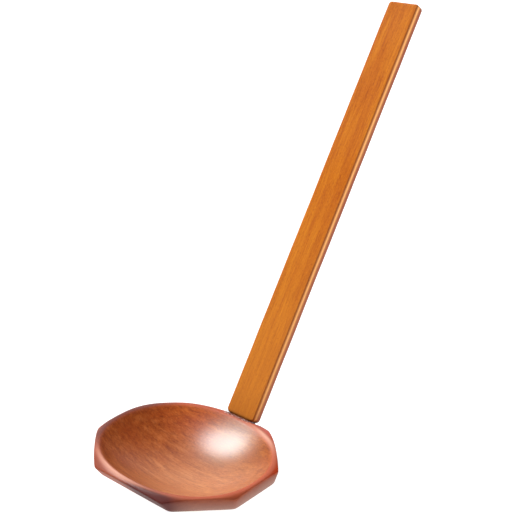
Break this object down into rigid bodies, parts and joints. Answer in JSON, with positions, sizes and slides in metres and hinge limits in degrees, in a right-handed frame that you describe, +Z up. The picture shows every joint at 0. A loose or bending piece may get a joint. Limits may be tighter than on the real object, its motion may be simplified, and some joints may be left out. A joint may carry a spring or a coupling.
{
  "type": "wooden soup ladle",
  "caption": "Long-handled wooden soup ladle: a shallow oval bowl carved with flat facets outside, and a straight flat handle rising steeply from its back.",
  "frame": {"origin": "centre of the bowl's flat underside, the face that it rests on", "axes": "+Z up, with the bowl's rim level; +Y from the bowl back towards the handle; +X across the bowl"},
  "size_m": [0.0832, 0.1894, 0.1885],
  "materials": {
    "bowl_wood": "clear gloss lacquer over reddish-brown stained wood",
    "handle_wood": "clear satin lacquer over golden-brown straight-grained wood",
    "glue": "glossy dried wood glue"
  },
  "bodies": {
    "root": {"bowl": "bowl_wood", "handle": "handle_wood", "glue_line": "glue"}
  },
  "joints": []
}
